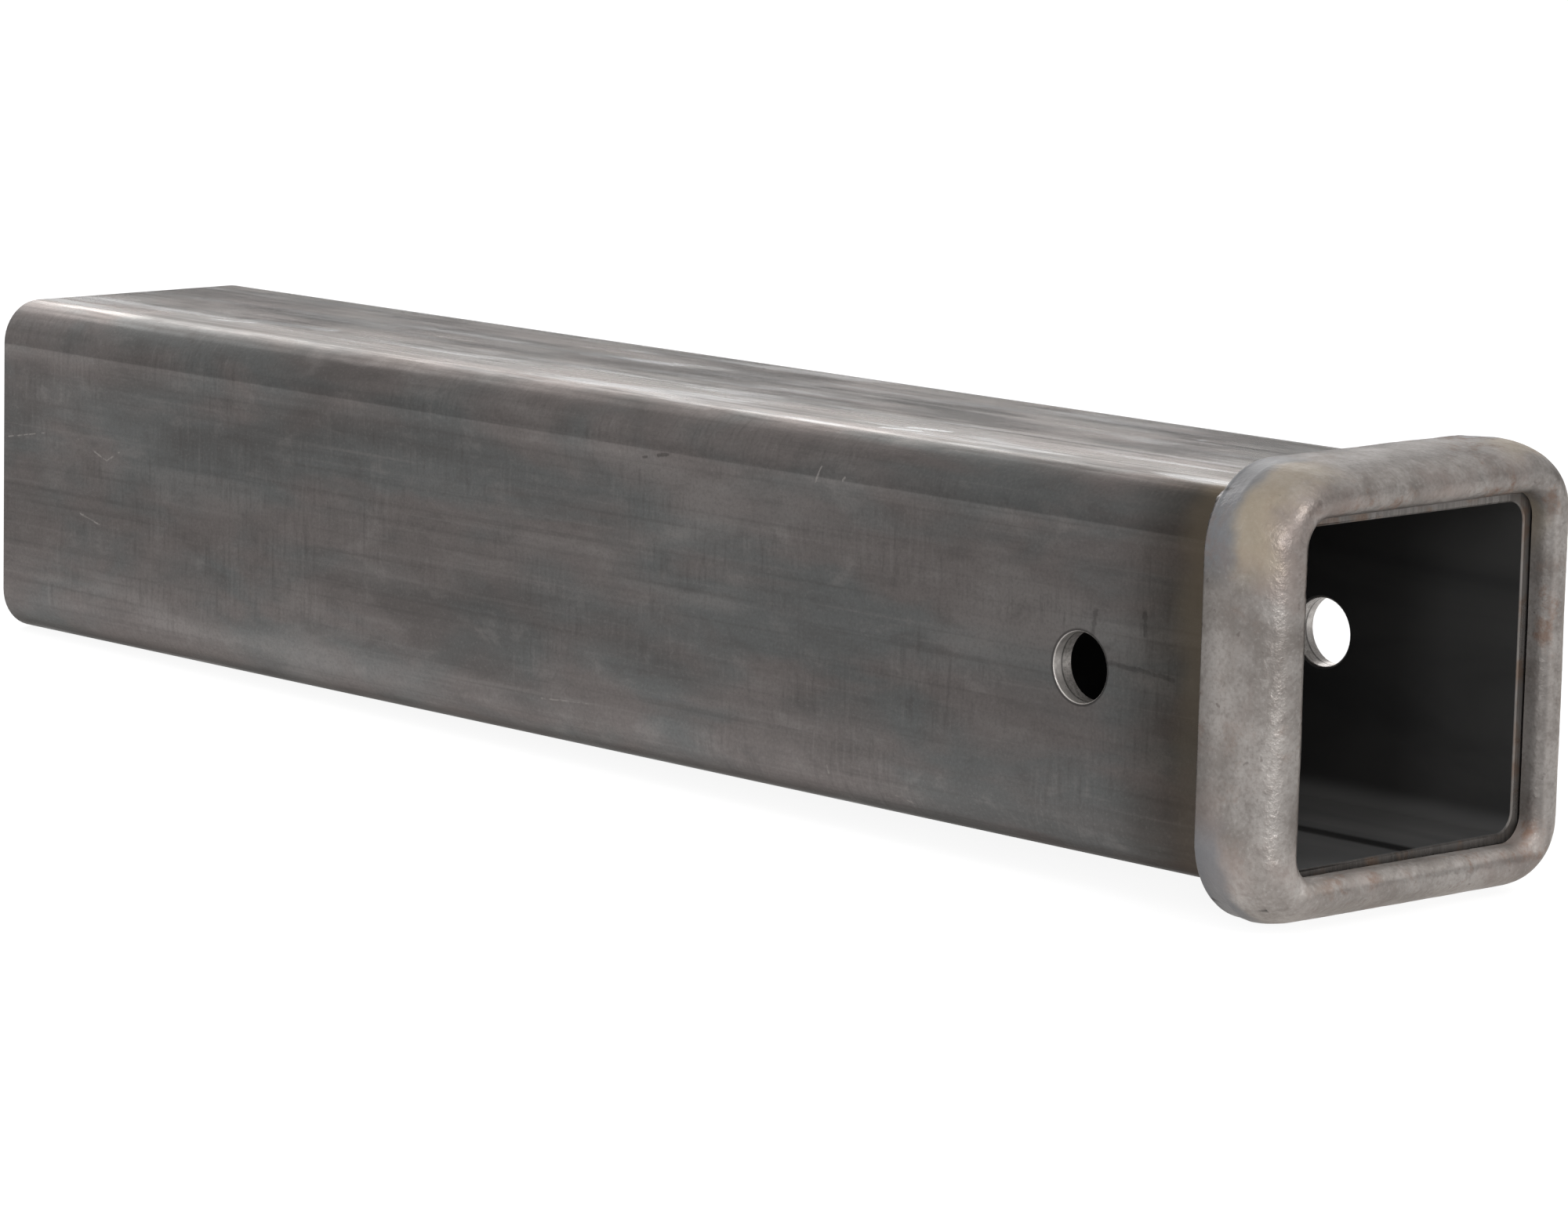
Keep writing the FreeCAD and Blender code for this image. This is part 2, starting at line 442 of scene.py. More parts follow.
# Marks on the tube as (start, end, width): scratches, dents and stains on its near side, scuffs on its top
NEAR_SCRATCHES = (
    ((-0.3656, 0, 0.0110), (-0.3537, 0, 0.0065), 0.00034),
    ((-0.3540, 0, 0.0062), (-0.3481, 0, 0.0093), 0.00030),
    ((-0.3647, 0, -0.0089), (-0.3562, 0, -0.0110), 0.00030),
    ((-0.3960, 0, 0.0083), (-0.3800, 0, 0.0110), 0.00024),
    ((-0.0861, 0, 0.0320), (-0.0844, 0, 0.0359), 0.00040),
    ((-0.0770, 0, 0.0335), (-0.0764, 0, 0.0342), 0.00045),
    ((-0.0746, 0, 0.0335), (-0.0740, 0, 0.0342), 0.00045),
    ((-0.1536, 0, 0.0318), (-0.1532, 0, 0.0300), 0.00034),
    ((-0.0799, 0, -0.0344), (-0.0796, 0, -0.0362), 0.00032),
    ((-0.0584, 0, -0.0383), (-0.0506, 0, -0.0398), 0.00028),
    ((-0.1804, 0, -0.0326), (-0.1632, 0, -0.0316), 0.00026),
)
NEAR_DENTS = (
    ((-0.1400, 0, 0.0322), (-0.1365, 0, 0.0328), 0.0006),
    ((-0.1452, 0, 0.0312), (-0.1440, 0, 0.0314), 0.0005),
)
NEAR_STAINS = (
    ((0.0090, 0, 0.0022), (0.0179, 0, 0.0019), 0.0009),
    ((0.0179, 0, 0.0019), (0.0285, 0, 0.0010), 0.0007),
    ((0.0045, 0, 0.0134), (0.0037, 0, 0.0084), 0.0010),
    ((0.0194, 0, 0.0150), (0.0196, 0, 0.0097), 0.0009),
)
TOP_SCUFFS = (
    ((-0.3370, -0.0225, 0), (-0.3240, -0.0190, 0), 0.0016),
    ((-0.3290, -0.0150, 0), (-0.3000, -0.0125, 0), 0.0034),
    ((-0.0800, -0.0290, 0), (-0.0700, -0.0265, 0), 0.0014),
    ((-0.0760, -0.0235, 0), (-0.0660, -0.0215, 0), 0.0018),
    ((-0.2250, 0.0100, 0), (-0.1950, 0.0130, 0), 0.0030),
)
TOP_PIT = (((-0.0213, 0.0172, 0), (-0.0205, 0.0172, 0), 0.0014),)


# Mill finish of the tube
class MillSteel(Finish):
    """Bare steel as rolled and drawn, with its marks, the weld's heat, its scaled bore and its cut metal."""

    def __init__(self):
        super().__init__("mill_steel")
        # patterns that several parts of the finish share
        self.clouds = self.pattern((11, 40, 40), (7.7, 2.2, 0.4), 3, 0.5, 0.8)
        self.blotches = self.pattern((60, 120, 120), (3.1, 6.2, 0.7), 4, 0.64, 0.4)
        self.drawn = self.pattern((7, 520, 520), (0, 0, 0), 4, 0.6)
        self.grain = self.pattern(1300, (0, 0, 0), 2, 0.6)
        self.fray = self.times(self.minus(self.pattern((500, 900, 900), (1, 7, 3), 3, 0.7), 0.5), 2.2)
        # masks of the tube's faces, of its pin hole and of the rim that the punch rolled in
        self.on_top = self.ramp(self.z, TUBE_HALF - 0.0006, TUBE_HALF - 0.0001)
        self.near_side = self.ramp(self.y, -BORE_HALF - 0.0014, -BORE_HALF - 0.0024)
        self.inside = self.ramp(self.reach, BORE_HALF + 0.0005, BORE_HALF + 0.0001)
        self.front_end = self.ramp(self.x, TUBE_FRONT - 0.0005, TUBE_FRONT - 0.0002)
        self.sawn = self.most(self.front_end, self.ramp(self.x, TUBE_REAR + 0.0005, TUBE_REAR + 0.0002))
        self.radius = self.calc("SQRT", self.plus(self.times(self.x, self.x), self.times(self.z, self.z)))
        self.punched = self.ramp(self.radius, HOLE_RADIUS + 0.00025, HOLE_RADIUS + 0.00010)
        self.rolled = self.times(
            self.ramp(self.radius, HOLE_RADIUS + 0.0009, HOLE_RADIUS + 0.0005), self.near_side)
        self.dull = self.dull_marks()

    def dull_marks(self):
        """Mask of the smudges, scuffs and pit on the top, drawn out along it."""
        from_above = self.vector("MULTIPLY", self.place, (1.0, 1.0, 0.0))
        smudges = self.ramp(self.pattern((16, 130, 130), (9, 1, 2), 4, 0.62, 0.3), 0.48, 0.68)
        streaky = self.ramp(self.drawn, 0.40, 0.56, 0.45, 1.0)
        scuffs = self.times(self.strokes(from_above, TOP_SCUFFS, self.fray), self.on_top, streaky)
        pit = self.times(self.strokes(from_above, TOP_PIT, self.fray), self.on_top)
        return self.most(self.times(smudges, self.on_top, 0.60), scuffs, pit)

    def skin(self):
        """Soft warm and blue-grey patches, streaks drawn along the tube, rubs across it and a grain."""
        warm, cool = (0.131, 0.118, 0.114), (0.110, 0.112, 0.111)
        dark, light = (0.074, 0.069, 0.067), (0.190, 0.178, 0.172)
        patches = self.pattern((20, 58, 58), (1.3, 0.2, 4.1), 3, 0.5, 0.5)
        rubs = self.pattern((800, 95, 95), (2, 5, 1), 3, 0.6)
        rubs_and_rim_light = self.ramp(self.pattern((36, 60, 60), (4, 4, 9), 2), 0.40, 0.60)
        colour = self.mix(self.ramp(patches, 0.38, 0.62), warm, cool)
        colour = self.tones(colour, self.clouds, (dark, 0.50, 0.74, 0.50), (light, 0.46, 0.26, 0.50))
        colour = self.tones(colour, self.blotches, (dark, 0.50, 0.72, 0.38), (light, 0.48, 0.30, 0.34))
        colour = self.tones(colour, self.drawn, (dark, 0.52, 0.74, 0.34), (light, 0.44, 0.26, 0.28))
        colour = self.tones(colour, rubs, (dark, 0.50, 0.72, 0.38), (light, 0.46, 0.28, 0.22), rubs_and_rim_light)
        return self.tones(colour, self.grain, (dark, 0.46, 0.70, 0.24), (light, 0.44, 0.28, 0.20))

    def side_shades(self, colour):
        """Painted light and shade: the sides pale towards their foot and their upper edge, and darken
        towards the collar.
        """
        foot = self.ramp(self.z, -TUBE_HALF + 0.03445, -TUBE_HALF + 0.00845)
        lower_foot = self.ramp(self.z, -TUBE_HALF + 0.01545, -TUBE_HALF + 0.00845)
        low_corner = self.ramp(self.z, -TUBE_HALF + 0.00495, -TUBE_HALF + 0.00095)
        upper_edge = self.times(self.ramp(self.z, TUBE_FLAT - 0.00585, TUBE_FLAT - 0.00085),
                                self.ramp(self.z, TUBE_FLAT + 0.0002, TUBE_FLAT - 0.0004))
        toward_collar = self.ramp(self.x, COLLAR_REAR - 0.1719, COLLAR_REAR - 0.0319)
        far_upper = self.times(self.ramp(self.x, TUBE_REAR + 0.0985, TUBE_REAR + 0.0085),
                               self.ramp(self.z, -0.005, 0.020))
        # painted light: foot, upper edge, far upper end; painted shade: low corner, towards the collar
        for mask, factor in ((foot, 1.30), (lower_foot, 1.22), (low_corner, 0.50), (upper_edge, 1.22),
                             (toward_collar, 0.86), (far_upper, 1.22)):
            colour = self.shade(colour, mask, factor)
        return colour

    def corner_shades(self, colour):
        """Painted shade starts the rolled top corners with a dark line, painted light pales their far end,
        and the crest is worn and painted as a highlight.
        """
        corner = self.times(self.ramp(self.across, TUBE_FLAT, TUBE_FLAT + 0.0004),
                            self.ramp(self.z, TUBE_FLAT - 0.0002, TUBE_FLAT + 0.0002))
        start = self.times(corner, self.ramp(self.z, TUBE_FLAT + 0.0045, TUBE_FLAT + 0.0006))
        far_part = self.times(corner, self.ramp(self.x, TUBE_REAR + 0.1585, TUBE_REAR + 0.0185),
                              self.ramp(self.z, TUBE_FLAT + 0.0030, TUBE_FLAT + 0.0090))
        crest = self.times(self.ramp(self.z, TUBE_HALF - 0.0016, TUBE_HALF - 0.0003),
                           self.ramp(self.across, TUBE_FLAT - 0.0030, TUBE_FLAT + 0.0010))
        wear_and_highlight = self.times(crest, self.ramp(self.pattern((50, 600, 600), (3, 3, 3), 3, 0.6), 0.34, 0.60))
        # painted shade at the corners' start, painted light at their far part, wear and a painted highlight
        # on the crest
        for mask, factor in ((start, 0.86), (far_part, 1.40), (wear_and_highlight, 1.60)):
            colour = self.shade(colour, mask, factor)
        return colour

    def top_marks(self, colour):
        black = (0.026, 0.025, 0.025)
        return self.mix(self.dull, colour, black)

    def near_marks(self, colour):
        """Scratches, dents and stains on the near side; the dents' dark colour is painted shade."""
        bare, painted_dent_shade = (0.300, 0.280, 0.265), (0.040, 0.037, 0.035)
        from_side = self.vector("MULTIPLY", self.place, (1.0, 0.0, 1.0))
        broken = self.ramp(self.pattern(420, (8, 2, 6), 2, 0.6), 0.40, 0.58)
        scratches = self.times(self.strokes(from_side, NEAR_SCRATCHES, self.fray), self.near_side, broken)
        dents = self.times(self.strokes(from_side, NEAR_DENTS, self.fray), self.near_side)
        stains = self.times(self.strokes(from_side, NEAR_STAINS, self.fray), self.near_side)
        colour = self.mix(self.times(scratches, 0.55), colour, bare)
        # the dents are painted dark as painted shade
        colour = self.mix(self.times(dents, 0.55), colour, painted_dent_shade)
        return self.shade(colour, stains, 0.72)

    def weld_heat(self, colour):
        """Darker beside the collar, and brown with the weld's heat where it was hottest."""
        darkening, brown = (0.520, 0.485, 0.450), (0.082, 0.066, 0.047)
        wobble = self.pattern((60, 90, 90), (5, 1, 3), 2)
        away = self.calc("MULTIPLY_ADD", wobble, -0.008, self.minus(COLLAR_REAR, self.x))
        hottest = self.times(self.ramp(away, 0.0114, 0.0034), self.ramp(self.z, -0.030, 0.024, 0.45, 1.0))
        colour = self.mix(self.ramp(away, 0.0329, 0.0069), colour, darkening, "MULTIPLY")
        return self.mix(self.times(hottest, 0.68), colour, brown)

    def bore(self, colour):
        """Black scale; the floor is paler with painted light, and a painted shadow makes a dark line by the
        tube's own weld seam.
        """
        black, worn_black = (0.040, 0.040, 0.040), (0.056, 0.055, 0.054)
        scale = self.mix(self.ramp(self.clouds, 0.35, 0.65), black, worn_black)
        # painted light on the bore's floor
        bottom = self.times(self.inside, self.ramp(self.z, -BORE_HALF + 0.0046, -BORE_HALF - 0.0003))
        wandering = self.calc("MULTIPLY_ADD", self.blotches, 0.0010, self.y)
        from_seam = self.calc("ABSOLUTE", self.minus(wandering, TUBE_SEAM_Y))
        # painted shadow along the tube's weld seam
        seam = self.times(self.inside, self.ramp(self.z, -BORE_HALF + 0.0009, -BORE_HALF + 0.0005),
                          self.ramp(from_seam, 0.0040, 0.0014))
        colour = self.mix(self.inside, colour, scale)
        return self.shade(self.shade(colour, bottom, 2.6), seam, 0.16)

    def pin_hole(self, colour):
        """The punched hole: a burnished entry, a step and torn metal behind it, and a rolled rim, darkened
        with painted shade and lighter with painted light on its side away from the mouth.
        """
        torn = self.mix(self.ramp(self.grain, 0.35, 0.65), (0.52, 0.49, 0.465), (0.34, 0.32, 0.30))
        burnished = self.mix(self.ramp(self.drawn, 0.35, 0.65), (0.62, 0.59, 0.56), (0.46, 0.43, 0.41))
        step = TUBE_HALF - BURNISHED_DEPTH
        wall = self.mix(self.ramp(self.across, step - 0.00015, step + 0.00015), torn, burnished)
        on_step = self.times(self.ramp(self.across, step - 0.00055, step - 0.00025),
                             self.ramp(self.across, step + 0.00025, step - 0.00005))
        wall = self.shade(wall, on_step, 0.35)
        # painted light on the rim's side away from the mouth
        lit = self.times(self.ramp(self.radius, HOLE_RADIUS + 0.0007, HOLE_RADIUS + 0.0003),
                         self.ramp(self.x, 0.004, -0.003, 0.10, 0.60))
        rim = self.ramp(self.radius, HOLE_RADIUS + 0.0007, HOLE_RADIUS + 0.0004)
        rubs_and_rim_light = (0.16, 0.150, 0.145)
        colour = self.mix(rim, colour, self.mix(lit, colour, rubs_and_rim_light))
        # painted shade darkens the rolled rim
        return self.mix(self.punched, self.shade(colour, self.rolled, 0.55), wall)

    def sawn_ends(self, colour):
        """Saw lines with a little rust; the seam round the front end is black with grime and painted shade.
        """
        rust_brown, black = (0.16, 0.100, 0.065), (0.020, 0.018, 0.017)
        saw_lines = self.pattern((40, 1400, 60), (0, 0, 0), 3, 0.6)
        metal = self.mix(self.ramp(saw_lines, 0.35, 0.65), (0.150, 0.138, 0.129), (0.215, 0.199, 0.187))
        metal = self.shade(metal, self.ramp(self.z, -BORE_HALF + 0.0031, -BORE_HALF + 0.0006), 0.50)
        rust = self.ramp(self.pattern(120, (3, 8, 2), 3, 0.6), 0.50, 0.68)
        metal = self.mix(self.times(rust, 0.6), metal, rust_brown)
        # painted shade in the seam between the tube's end and the collar's lip, with grime
        grime_and_seam_shade = self.times(self.front_end, self.ramp(self.reach, MOUTH_HALF - 0.00035, MOUTH_HALF + 0.00005))
        colour = self.mix(self.sawn, colour, metal)
        return self.mix(self.times(grime_and_seam_shade, 0.92), colour, black)

    def roughness(self):
        """Satin, smoother on the far part of the top, duller in the bore and on the hole's rolled rim."""
        satin = self.ramp(self.pattern((24, 80, 80), (6, 3, 3), 3), 0.30, 0.70, 0.25, 0.40)
        satin = self.plus(satin, self.ramp(self.drawn, 0.35, 0.65, -0.04, 0.05))
        smooth = self.times(self.on_top, self.ramp(self.y, -0.0330, -0.0060, 0.0, 0.33))
        rim = self.times(self.rolled, self.ramp(self.punched, 1.0, 0.0), 0.60)
        return self.most(self.times(satin, self.minus(0.95, smooth)), self.times(self.inside, 0.55), rim)

    def relief(self):
        """The flats fall a little towards the near corners and run smoothly into them, and are wavy."""
        crown_end = TUBE_FLAT + CROWN_RUN
        outside = self.minus(1.0, self.inside)
        fall = self.between(self.minus(0.0, self.y), 0.0, crown_end)
        blend = self.between(self.minus(-TUBE_FLAT, self.y), 0.0, CROWN_RUN)
        crown = self.plus(self.times(fall, fall, -CROWN_FALL, outside),
                          self.times(blend, blend, CROWN_FALL * crown_end / CROWN_RUN, outside))
        waves = self.plus(crown, self.times(self.pattern((4, 170, 170), (2, 8, 5), 2, 0.5), 0.10))
        fine = self.plus(self.times(self.grain, 0.40), self.times(self.drawn, 0.60))
        return self.bump(fine, 0.12, 0.00012, self.bump(waves, 1.0, MILLIMETRE))

    def metallic(self):
        """Less of a mirror on black scale, on the top's marks and on the roughest cut metal."""
        cut = self.most(self.punched, self.sawn)
        scaled = self.times(self.inside, self.minus(1.0, cut), 0.60)
        rough_cut = self.most(self.times(self.punched, 0.40), self.times(self.front_end, 0.55))
        return self.times(self.minus(1.0, scaled), self.minus(1.0, self.times(self.dull, 0.95)),
                          self.minus(1.0, rough_cut))


def mill_steel():
    """The tube's material, one layer over another."""
    steel = MillSteel()
    colour = steel.skin()
    for layer in (steel.side_shades, steel.corner_shades, steel.top_marks, steel.near_marks,
                  steel.weld_heat, steel.bore, steel.pin_hole, steel.sawn_ends):
        colour = layer(colour)
    return steel.assemble(colour, steel.roughness(), steel.relief(), steel.metallic(), (0.540, 0.524, 0.513))


# Forged finish of the collar
class ForgedSteel(Finish):
    """Forged and tumbled satin, with rust on its edges, heat tints at its rear and a duller lip and top."""

    def __init__(self):
        super().__init__("forged_steel")
        self.mottle = self.pattern(230, (5, 2, 8), 3, 0.62)
        self.grain = self.pattern(1000, (0, 0, 0), 2, 0.6)
        self.rust = self.rust_specks()
        self.foot = self.ramp(self.z, -COLLAR_HALF + 0.0177, -COLLAR_HALF + 0.0117)
        self.top_skin = self.ramp(self.z, COLLAR_HALF - 0.0087, COLLAR_HALF - 0.0027)
        self.lip = self.times(self.ramp(self.reach, MOUTH_HALF + 0.0028, MOUTH_HALF + 0.0008),
                              self.ramp(self.x, SEAM_X, SEAM_X + 0.0006))

    def rust_specks(self):
        """Mask of rust specks, thickest along the outer and inner edges and on the far side."""
        outer = self.ramp(self.reach, COLLAR_HALF - 0.0015, COLLAR_HALF - 0.0003)
        inner = self.times(self.ramp(self.reach, MOUTH_HALF + 0.00445, MOUTH_HALF + 0.00195),
                           self.ramp(self.x, COLLAR_FRONT - 0.0059, COLLAR_FRONT - 0.0029))
        specks = self.pattern(130, (9, 4, 1), 5, 0.70)
        along_edges = self.calc("MULTIPLY_ADD", self.most(outer, inner), 0.07, specks)
        scattered = self.ramp(self.pattern(30, (2, 9, 6), 2), 0.42, 0.60)
        toward_far = self.ramp(self.y, -COLLAR_HALF + 0.0037, -COLLAR_HALF + 0.0417, 0.35, 1.0)
        return self.times(self.ramp(along_edges, 0.55, 0.74), scattered, toward_far)

    def skin(self):
        """Mottled and grainy satin, with dark freckles and brown stains."""
        pale, plain, grime = (0.340, 0.316, 0.298), (0.238, 0.216, 0.200), (0.150, 0.130, 0.118)
        bright, brightest = (0.43, 0.40, 0.38), (0.46, 0.44, 0.42)
        freckle, brown = (0.095, 0.075, 0.068), (0.262, 0.212, 0.192)
        patches = self.ramp(self.pattern(75, (1, 2, 3), 4, 0.58), 0.36, 0.64)
        clouds = self.ramp(self.pattern(32, (8, 1, 5), 2), 0.40, 0.64)
        freckles = self.ramp(self.pattern(420, (6, 6, 2), 2, 0.5), 0.70, 0.76)
        stained = self.ramp(self.pattern(38, (4, 7, 1), 4, 0.6), 0.50, 0.66)
        colour = self.shade(self.mix(patches, pale, plain), clouds, 0.84)
        colour = self.tones(colour, self.mottle, (grime, 0.50, 0.74, 0.46), (bright, 0.44, 0.26, 0.30))
        colour = self.tones(colour, self.grain, (grime, 0.48, 0.68, 0.30), (brightest, 0.44, 0.28, 0.22))
        colour = self.mix(self.times(freckles, 0.45), colour, freckle)
        return self.mix(self.times(stained, 0.50), colour, brown)

    def shades(self, colour):
        """Painted light and shade: paler at its foot and on its far side with painted light, darker by its
        rear edge with painted shade.
        """
        foot = self.times(self.ramp(self.z, -COLLAR_HALF + 0.0317, -COLLAR_HALF + 0.0097),
                          self.ramp(self.y, -COLLAR_HALF + 0.0317, -COLLAR_HALF + 0.0077, 0.45, 1.0))
        far_side = self.ramp(self.y, COLLAR_HALF - 0.0107, COLLAR_HALF - 0.0037)
        rear_edge = self.ramp(self.x, COLLAR_REAR + 0.0080, COLLAR_REAR + 0.0005)
        # painted light at the foot and the far side, painted shade by the rear edge
        for mask, factor in ((foot, 1.30), (far_side, 1.18), (rear_edge, 0.62)):
            colour = self.shade(colour, mask, factor)
        return colour

    def temper(self, colour):
        """Temper colours at the rear corners, nearest the weld: blue-grey, then straw in front of it."""
        blue_grey, straw_yellow = (0.176, 0.187, 0.204), (0.470, 0.394, 0.284)
        corners = self.ramp(self.calc("MINIMUM", self.across, self.up_down),
                            COLLAR_HALF - 0.0287, COLLAR_HALF - 0.0167)
        wobble = self.minus(self.pattern(75, (2, 6, 5), 3, 0.55), 0.5)
        ahead = self.calc("MULTIPLY_ADD", wobble, 0.012, self.minus(self.x, COLLAR_REAR))
        blue = self.times(self.ramp(ahead, 0.0126, 0.0081), corners)
        straw = self.times(self.ramp(ahead, 0.0071, 0.0126), self.ramp(ahead, 0.0231, 0.0171), corners,
                           self.ramp(self.z, 0.0, 0.02))
        colour = self.mix(self.times(blue, 0.72), colour, blue_grey)
        return self.mix(self.times(straw, 0.50), colour, straw_yellow)

    def rusted(self, colour):
        rust_brown = (0.215, 0.128, 0.088)
        return self.mix(self.times(self.rust, 0.80), colour, rust_brown)

    def pocket(self, colour):
        """The pocket and the shoulder, out of sight, are black."""
        black = (0.035, 0.033, 0.032)
        hidden = self.times(self.ramp(self.x, SEAM_X + 0.0004, SEAM_X + 0.0001),
                            self.ramp(self.reach, TUBE_HALF + 0.00205, TUBE_HALF + 0.00105))
        return self.mix(hidden, colour, black)

    def mouth_and_top_painted_shading(self, colour):
        """Painted light and shade: the mouth's wall and the top are darker with painted shade, and the lip's
        foot is paler with painted light.
        """
        wall = self.times(self.lip, self.ramp(self.reach, MOUTH_HALF + 0.0012, MOUTH_HALF + 0.0003),
                          self.ramp(self.foot, 1.0, 0.0))
        low_lip = self.times(self.lip, self.foot)
        top = self.times(self.top_skin, self.ramp(self.x, COLLAR_FRONT - 0.0020, COLLAR_FRONT - 0.0080))
        # painted shade on the mouth's wall and the top, painted light on the lip's foot
        for mask, factor in ((wall, 0.70), (low_lip, 1.40), (top, 0.74)):
            colour = self.shade(colour, mask, factor)
        return colour

    def roughness(self):
        """Satin, duller where it rusts and on its top."""
        satin = self.ramp(self.pattern(90, (4, 1, 1), 3), 0.30, 0.70, 0.30, 0.42)
        return self.plus(self.plus(satin, self.times(self.rust, 0.22)), self.times(self.top_skin, 0.24))

    def relief(self):
        return self.bump(self.grain, 0.55, 0.00022, self.bump(self.mottle, 0.40, 0.00045))

    def metallic(self):
        """Less of a mirror on the oxide of the lip, of the front's foot and of the top."""
        by_mouth = self.ramp(self.reach, MOUTH_HALF + 0.0090, MOUTH_HALF + 0.0030)
        dulled = self.most(self.lip, self.times(self.foot, by_mouth, 0.45))
        top = self.times(self.top_skin, self.ramp(self.lip, 1.0, 0.0), 0.68)
        return self.minus(self.ramp(dulled, 0.0, 1.0, 0.86, 0.20), top)


def forged_steel():
    """The collar's material, one layer over another."""
    steel = ForgedSteel()
    colour = steel.skin()
    for layer in (steel.shades, steel.temper, steel.rusted, steel.pocket, steel.mouth_and_top_painted_shading):
        colour = layer(colour)
    return steel.assemble(colour, steel.roughness(), steel.relief(), steel.metallic(), (0.740, 0.700, 0.665))


def weld_steel():
    """Bead as welded: dark grey, with straw and blue temper colours."""
    steel = Finish("weld_steel")
    tint = steel.pattern(60, (8, 8, 1), 3, 0.6)
    grain = steel.pattern(1500, (0, 0, 0), 3, 0.6)
    grey, blue, straw = (0.17, 0.155, 0.145), (0.12, 0.125, 0.145), (0.22, 0.15, 0.085)
    colour = steel.mix(steel.ramp(tint, 0.35, 0.62), grey, blue)
    colour = steel.mix(steel.ramp(tint, 0.56, 0.72, 0.0, 0.7), colour, straw)
    roughness = steel.ramp(grain, 0.3, 0.7, 0.30, 0.48)
    return steel.assemble(colour, roughness, steel.bump(grain, 0.25, 0.00015), 1.0, (0.8, 0.8, 0.8))


def dress(obj, material):
    obj.data.materials.clear()
    obj.data.materials.append(material)


# Pieces
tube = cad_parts["receiver_tube"]
tube_finish = mill_steel()
for slot in tube.material_slots:
    slot.material = tube_finish

collar = make_collar()
dress(collar, forged_steel())
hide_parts("reinforcement_collar")
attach(collar, "root")

weld = make_weld()
dress(weld, weld_steel())
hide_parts("collar_weld")
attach(weld, "root")


# Floor, lights and camera
def glowing_white(tree, level, glow):
    """Shader of a white surface that takes part of its light from itself, so that it stays white."""
    matte = tree.new("ShaderNodeBsdfDiffuse")
    tree.feed(matte.inputs["Color"], (level, level, level))
    light = tree.new("ShaderNodeEmission")
    tree.feed(light.inputs["Strength"], glow)
    both = tree.new("ShaderNodeAddShader")
    tree.feed(both.inputs[0], matte.outputs[0])
    tree.feed(both.inputs[1], light.outputs[0])
    return both.outputs[0]


def choose(tree, mask, otherwise, chosen):
    node = tree.new("ShaderNodeMixShader")
    for socket, value in zip(node.inputs, (mask, otherwise, chosen)):
        tree.feed(socket, value)
    return node.outputs[0]


def floor():
    """Pale floor through the two lines that the part rests on: the collar's rear edge and the tube's end."""
    slope = -(COLLAR_HALF - TUBE_HALF) / (COLLAR_REAR + REAR_ROUND - TUBE_REAR)
    half = 12.0
    corners = [(x, y, -TUBE_HALF + slope * (x - TUBE_REAR)) for x, y in
               ((-half, -half), (half, -half), (half, half), (-half, half))]
    mesh = bpy.data.meshes.new("floor")
    mesh.from_pydata(corners, [], [(0, 1, 2, 3)])
    obj = placed("floor", mesh)
    material = bpy.data.materials.new("floor")
    tree = Tree(material)
    from_camera, mirrored = tree.rays()
    shown = choose(tree, mirrored, glowing_white(tree, 0.80, 0.0), glowing_white(tree, 0.30, 0.70))
    shown = choose(tree, from_camera, shown, glowing_white(tree, 0.22, 0.90))
    tree.show("ShaderNodeOutputMaterial", shown)
    mesh.materials.append(material)


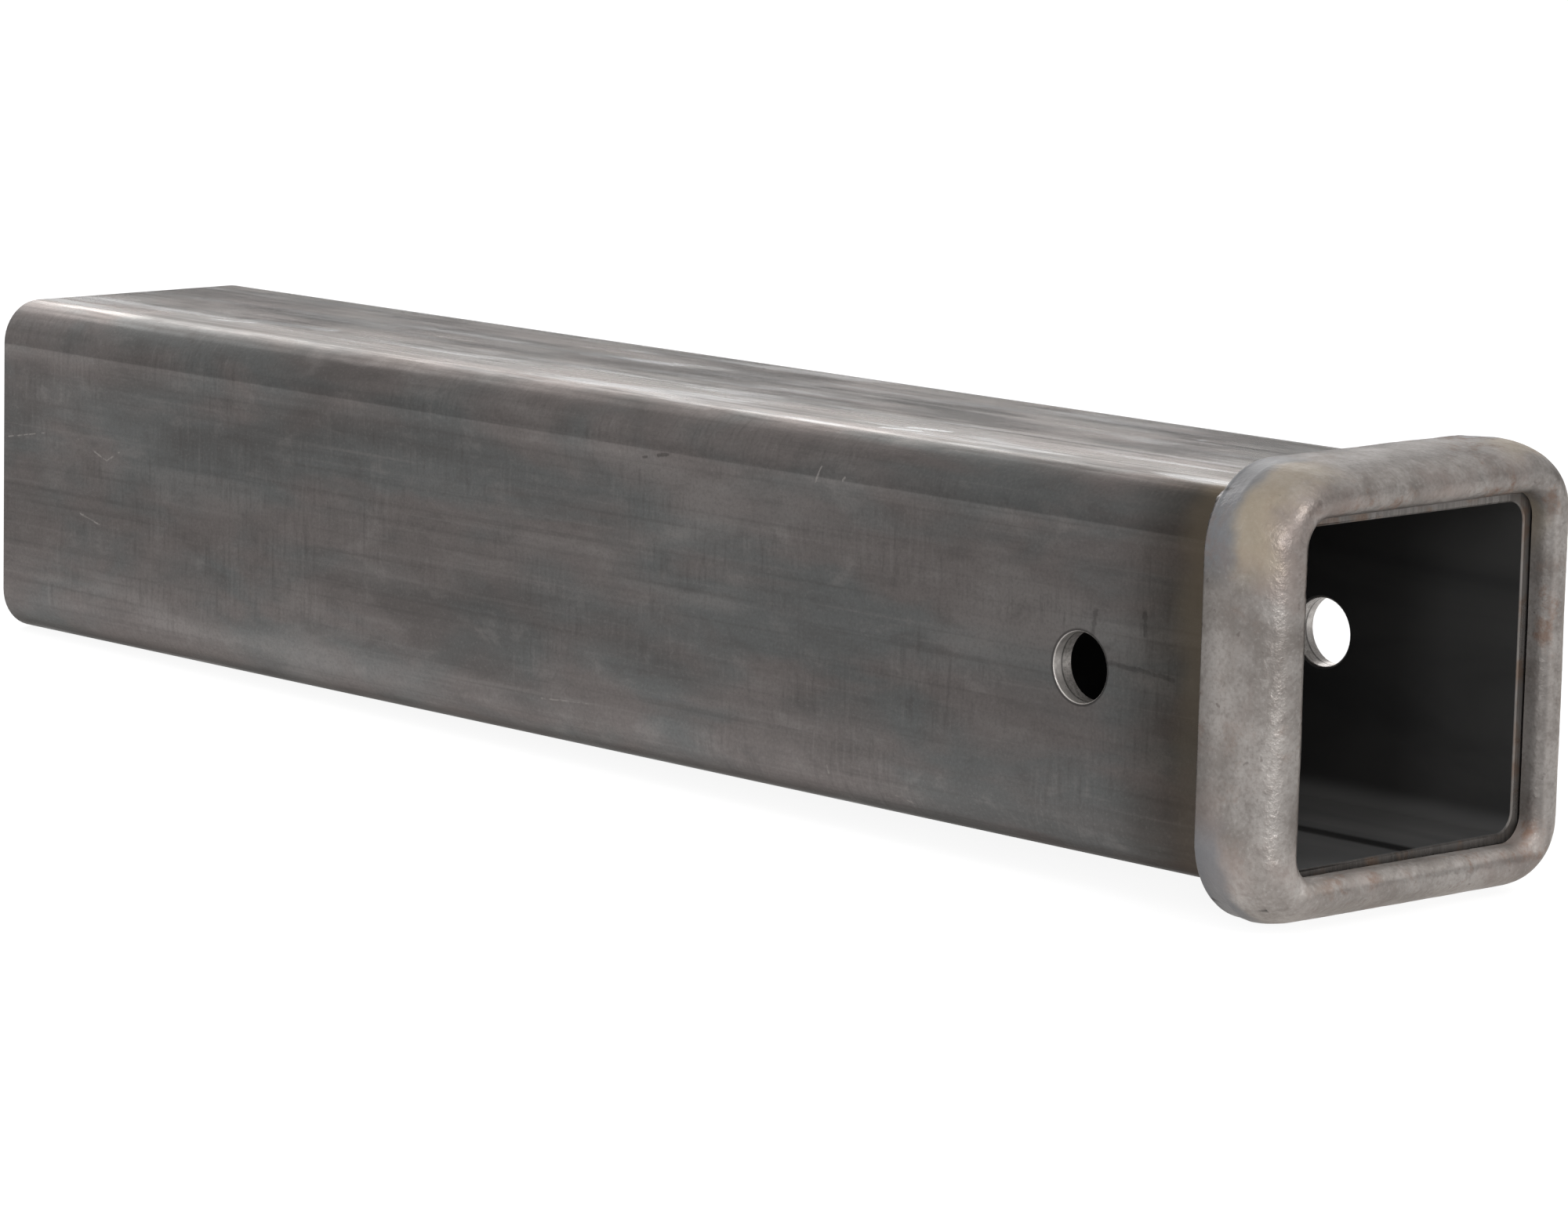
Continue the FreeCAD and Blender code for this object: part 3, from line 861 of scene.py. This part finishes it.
def sky():
    """White studio, dimmer in reflections high up behind the mouth, and dimmer as light."""
    world = bpy.data.worlds.new("studio")
    bpy.context.scene.world = world
    tree = Tree(world)
    x, y, z = tree.split(tree.new("ShaderNodeTexCoord").outputs["Generated"])
    high = tree.ramp(z, 0.15, 0.45)
    behind = tree.ramp(y, 0.30, 0.60, 0.0, high)
    beside = tree.ramp(x, -0.55, -0.15, 0.0, behind)
    level = tree.ramp(y, 0.20, 0.55, 0.95, 0.42)
    overhead = tree.calc("MULTIPLY_ADD", beside, -0.20, level)
    from_camera, mirrored = tree.rays()
    strength = tree.most(from_camera, tree.ramp(mirrored, 0.0, 1.0, 0.60, overhead))
    back = tree.new("ShaderNodeBackground")
    tree.feed(back.inputs["Color"], (1.0, 1.0, 1.0))
    tree.feed(back.inputs["Strength"], strength)
    tree.show("ShaderNodeOutputWorld", back.outputs[0])


def facing(place, target):
    """Matrix of a lamp or camera at that place that looks at the target."""
    back = (Vector(place) - Vector(target)).normalized()
    side = Vector((0, 0, 1)).cross(back).normalized()
    return Matrix.Translation(place) @ Matrix((side, back.cross(side), back)).transposed().to_4x4()


def softbox(name, place, target, width, height, brightness):
    """Area lamp of that brightness per unit of its face, aimed at the target."""
    lamp = bpy.data.lights.new(name, "AREA")
    lamp.shape = "RECTANGLE"
    lamp.size, lamp.size_y = width, height
    lamp.energy = brightness * math.pi * width * height
    placed(name, lamp).matrix_world = facing(place, target)


def camera():
    """The photograph's viewpoint: a long lens from the near side of the mouth, a little above it."""
    azimuth, elevation, roll = 0.7982, 0.1579, 0.0240
    target = Vector((-0.14120, 0.0, -0.00811))
    away = 1.53613
    back = Vector((math.sin(azimuth) * math.cos(elevation), -math.cos(azimuth) * math.cos(elevation),
                   math.sin(elevation)))
    lens = bpy.data.cameras.new("camera")
    lens.sensor_width = 36.0
    lens.sensor_fit = "HORIZONTAL"
    lens.lens = 143.566
    lens.clip_end = 100.0
    obj = placed("camera", lens)
    obj.matrix_world = facing(target + back * away, target) @ Matrix.Rotation(roll, 4, "Z")
    bpy.context.scene.camera = obj


floor()
sky()
camera()
middle, mouth = (-0.15, 0.0, 0.0), (0.06, 0.0, 0.0)
softbox("back_box", (-2.28, 1.39, 1.59), middle, 2.8, 1.6, 1.75)
softbox("strip_box", (-2.25, 1.93, 0.94), middle, 2.8, 0.42, 5.6)
softbox("top_box", (0.10, -0.20, 1.60), middle, 1.2, 0.9, 0.6)
softbox("front_box", (1.32, -1.28, 0.46), (0.05, -0.04, 0.0), 0.34, 0.34, 5.5)
softbox("mouth_box", (1.00, -0.26, 0.86), mouth, 0.50, 0.50, 4.5)
softbox("ridge_box", (0.63, -1.37, 0.30), mouth, 0.22, 0.64, 9.0)
bpy.context.scene.view_settings.view_transform = "Standard"
